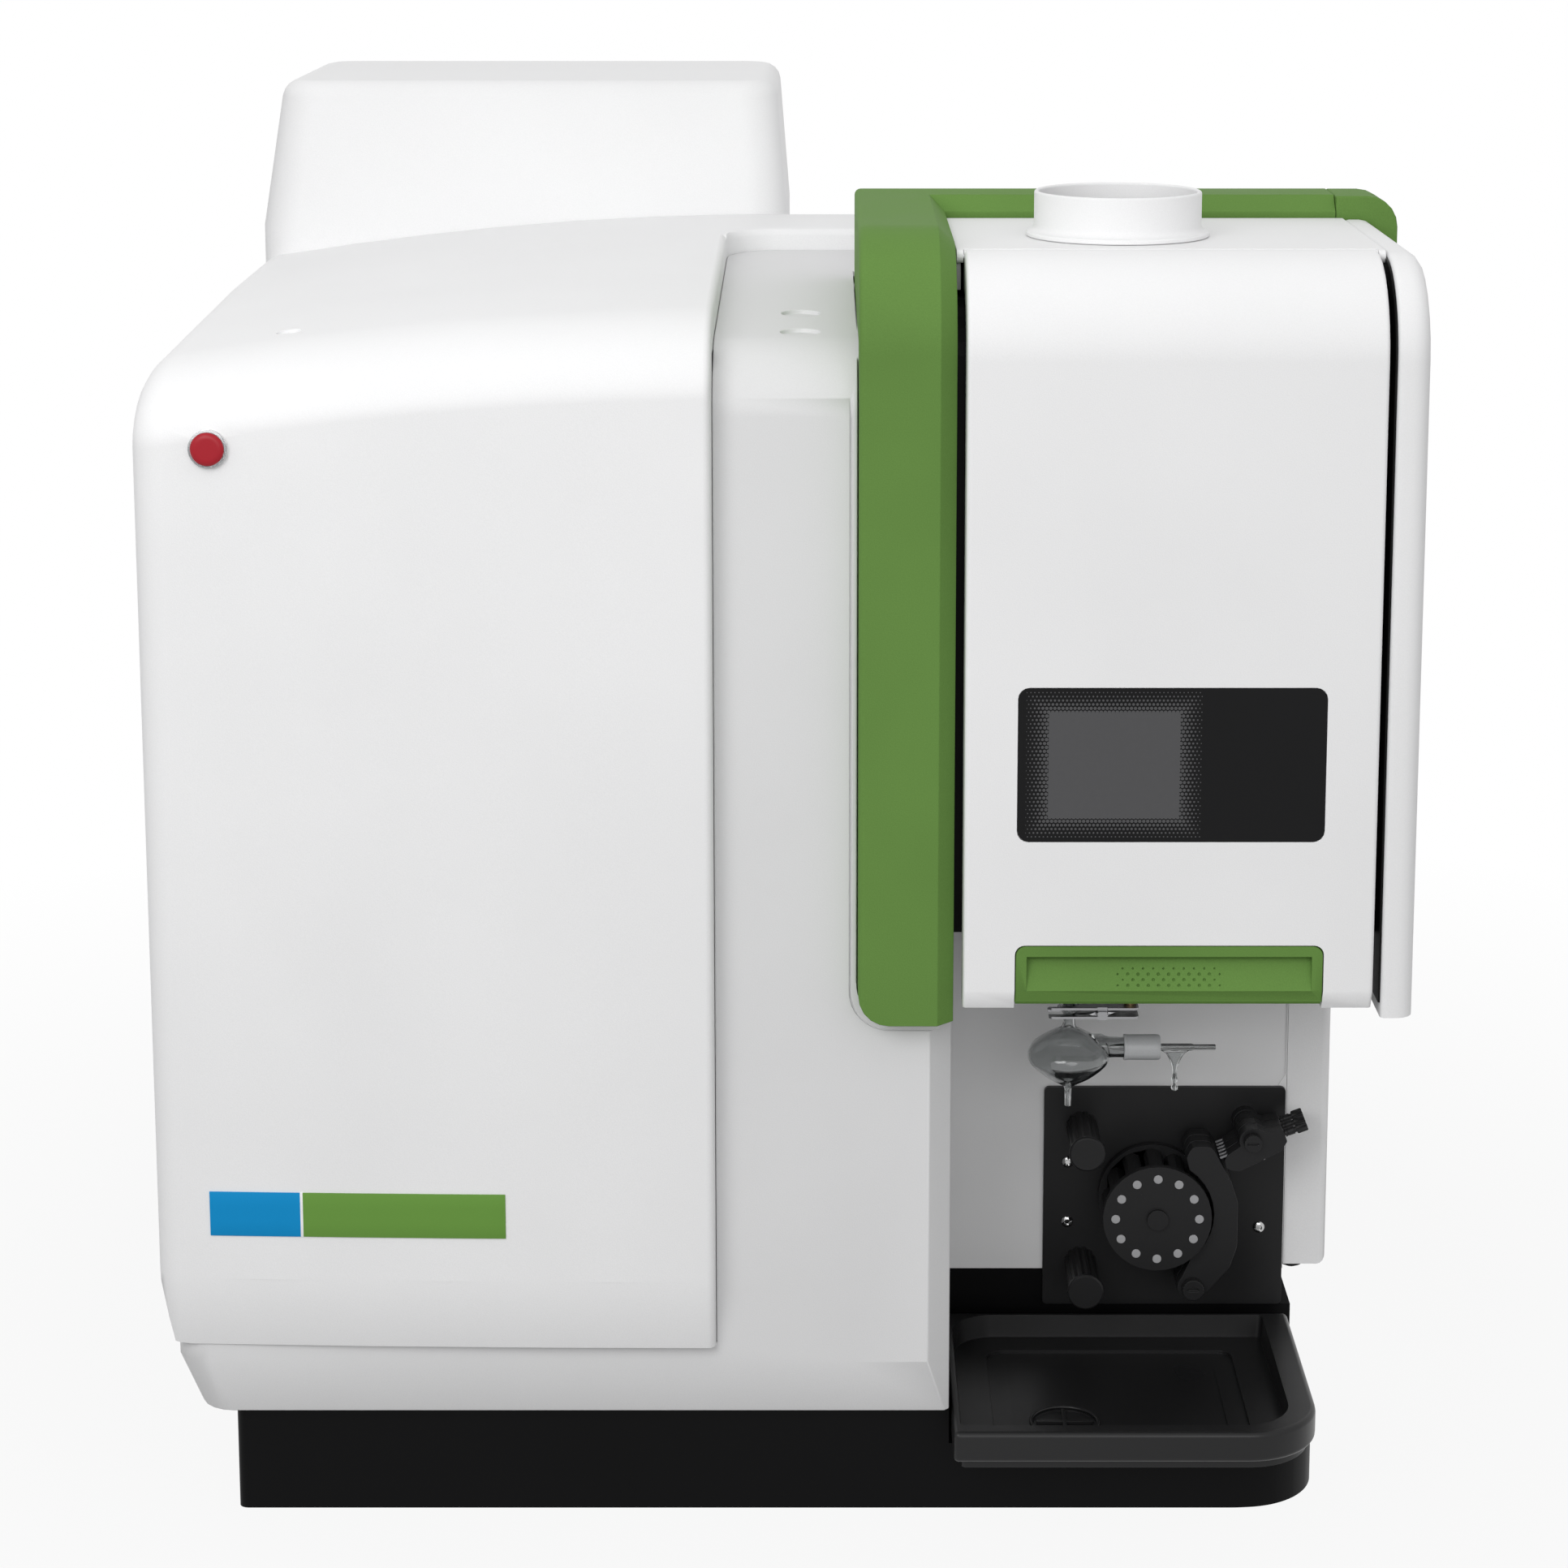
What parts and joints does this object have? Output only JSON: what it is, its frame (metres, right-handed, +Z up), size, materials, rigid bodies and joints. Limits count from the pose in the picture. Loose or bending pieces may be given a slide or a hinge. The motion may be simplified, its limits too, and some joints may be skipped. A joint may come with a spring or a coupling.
{
  "type": "benchtop plasma emission spectrometer",
  "caption": "Benchtop plasma emission spectrometer with lifting torch door, spray chamber, peristaltic pump, drip tray and exhaust collar.",
  "frame": {"origin": "on the bench, under the middle of the instrument's bounding box", "axes": "+Z up, -Y towards the user, so the front faces -Y; +X to the user's right"},
  "size_m": [0.7886, 0.8001, 0.87],
  "materials": {
    "white_plastic": "fine-grained off-white moulded plastic",
    "white_sheet": "white powder-coated sheet metal",
    "green_plastic": "satin leaf-green moulded plastic",
    "black_plastic": "satin black moulded plastic",
    "black_gloss": "dark polished window plate",
    "black_sheet": "matt black painted metal",
    "red_plastic": "semi-gloss red push cap",
    "clear_plastic": "clear moulded ring",
    "soft_rubber": "black rubber",
    "steel": "bright stainless steel",
    "aluminium": "bare aluminium",
    "clear_glass": "clear laboratory glass",
    "frosted_plastic": "translucent frosted plastic",
    "ceramic": "white machined polymer"
  },
  "bodies": {
    "cabinet": {"front_moulding": "white_plastic", "left_cover": "white_plastic", "rear_tower": "white_plastic", "rear_housing": "white_plastic", "lower_side_panel": "white_plastic", "right_side_cover": "white_plastic", "top_cover": "white_plastic", "exhaust_collar": "white_plastic", "bay_liner": "white_sheet", "rear_panel": "white_sheet", "green_frame": "green_plastic", "green_side_band": "green_plastic", "base_plinth": "black_plastic", "pump_plate": "black_plastic", "tube_post_upper": "black_plastic", "tube_post_lower": "black_plastic", "arm_pivot_pin": "black_plastic", "lever_pivot_pin": "black_plastic", "fan_frame": "black_plastic", "power_inlet": "black_plastic", "torch_box": "black_sheet", "pump_motor": "black_sheet", "detector": "black_sheet", "button_bezel": "clear_plastic", "panel_bumper": "soft_rubber", "door_hinge_pin": "steel", "clamp_lower": "steel", "chassis_tray": "aluminium", "optics_tank": "aluminium", "rf_generator": "aluminium", "power_supply": "aluminium", "load_plate_lower": "aluminium", "load_plate_upper": "aluminium", "optics_snout": "aluminium", "spray_chamber": "clear_glass", "nebulizer": "clear_glass", "injector_tube": "clear_glass", "torch_tube": "clear_glass", "end_cap": "frosted_plastic", "torch_mount": "ceramic"},
    "lever_rear": {"cam_lever_rear": "black_plastic"},
    "arm_rear": {"pressure_arm_rear": "black_plastic"},
    "screw_rear": {"adjusting_screw_rear": "black_plastic"},
    "lever_middle": {"cam_lever_middle": "black_plastic"},
    "arm_middle": {"pressure_arm_middle": "black_plastic"},
    "screw_middle": {"adjusting_screw_middle": "black_plastic"},
    "lever_front": {"cam_lever_front": "black_plastic"},
    "arm_front": {"pressure_arm_front": "black_plastic"},
    "screw_front": {"adjusting_screw_front": "black_plastic"},
    "door": {"torch_door": "white_plastic", "door_window": "black_gloss", "door_handle": "green_plastic"},
    "button": {"standby_button": "red_plastic"},
    "rotor": {"pump_rotor": "black_plastic"},
    "tray": {"drip_tray": "black_plastic"},
    "clamp_jaw": {"clamp_upper": "steel"},
    "fan": {"fan_rotor": "black_plastic"},
    "rocker": {"power_switch": "black_plastic"}
  },
  "joints": [
    {"name": "door_lift", "type": "hinge", "parent": "cabinet", "child": "door", "pos_m": [0.22875, -0.34, 0.797], "axis": [-1, 0, 0], "range_deg": [0, 80]},
    {"name": "standby_press", "type": "slide", "parent": "cabinet", "child": "button", "axis": [0, 1, 0], "range_m": [0, 0.002], "stiffness_N_per_m": 400},
    {"name": "rotor_spin", "type": "hinge", "parent": "cabinet", "child": "rotor", "pos_m": [0.23945, -0.23, 0.1505], "axis": [0, -1, 0], "continuous": true},
    {"name": "tray_slide", "type": "slide", "parent": "cabinet", "child": "tray", "axis": [0, -1, 0], "range_m": [0, 0.18]},
    {"name": "clamp_open", "type": "hinge", "parent": "cabinet", "child": "clamp_jaw", "pos_m": [0.19675, -0.3, 0.30875], "axis": [0, 1, 0], "range_deg": [0, 10]},
    {"name": "fan_spin", "type": "hinge", "parent": "cabinet", "child": "fan", "pos_m": [0.20875, 0.378, 0.52], "axis": [0, 1, 0], "continuous": true},
    {"name": "mains_rock", "type": "hinge", "parent": "cabinet", "child": "rocker", "pos_m": [0.26275, 0.3905, 0.2195], "axis": [-1, 0, 0], "range_deg": [0, 18]},
    {"name": "lever_turn_rear", "type": "hinge", "parent": "cabinet", "child": "lever_rear", "pos_m": [0.30146, -0.21843, 0.20202], "axis": [0, -1, 0], "range_deg": [0, 90]},
    {"name": "arm_swing_rear", "type": "hinge", "parent": "cabinet", "child": "arm_rear", "pos_m": [0.26394, -0.21843, 0.10049], "axis": [0, 1, 0], "range_deg": [0, 14]},
    {"name": "screw_turn_rear", "type": "hinge", "parent": "lever_rear", "child": "screw_rear", "pos_m": [0.32297, -0.21843, 0.20561], "axis": [0.9336, 0, 0.3584], "continuous": true},
    {"name": "lever_turn_middle", "type": "hinge", "parent": "cabinet", "child": "lever_middle", "pos_m": [0.30146, -0.23, 0.20202], "axis": [0, -1, 0], "range_deg": [0, 90]},
    {"name": "arm_swing_middle", "type": "hinge", "parent": "cabinet", "child": "arm_middle", "pos_m": [0.26394, -0.23, 0.10049], "axis": [0, 1, 0], "range_deg": [0, 14]},
    {"name": "screw_turn_middle", "type": "hinge", "parent": "lever_middle", "child": "screw_middle", "pos_m": [0.32297, -0.23, 0.20561], "axis": [0.9336, 0, 0.3584], "continuous": true},
    {"name": "lever_turn_front", "type": "hinge", "parent": "cabinet", "child": "lever_front", "pos_m": [0.30146, -0.24157, 0.20202], "axis": [0, -1, 0], "range_deg": [0, 90]},
    {"name": "arm_swing_front", "type": "hinge", "parent": "cabinet", "child": "arm_front", "pos_m": [0.26394, -0.24157, 0.10049], "axis": [0, 1, 0], "range_deg": [0, 14]},
    {"name": "screw_turn_front", "type": "hinge", "parent": "lever_front", "child": "screw_front", "pos_m": [0.32297, -0.24157, 0.20561], "axis": [0.9336, 0, 0.3584], "continuous": true}
  ],
  "couplings": [
    {"joint": "arm_swing_rear", "follows": "lever_turn_rear", "ratio": 0.15},
    {"joint": "arm_swing_middle", "follows": "lever_turn_middle", "ratio": 0.15},
    {"joint": "arm_swing_front", "follows": "lever_turn_front", "ratio": 0.15}
  ]
}
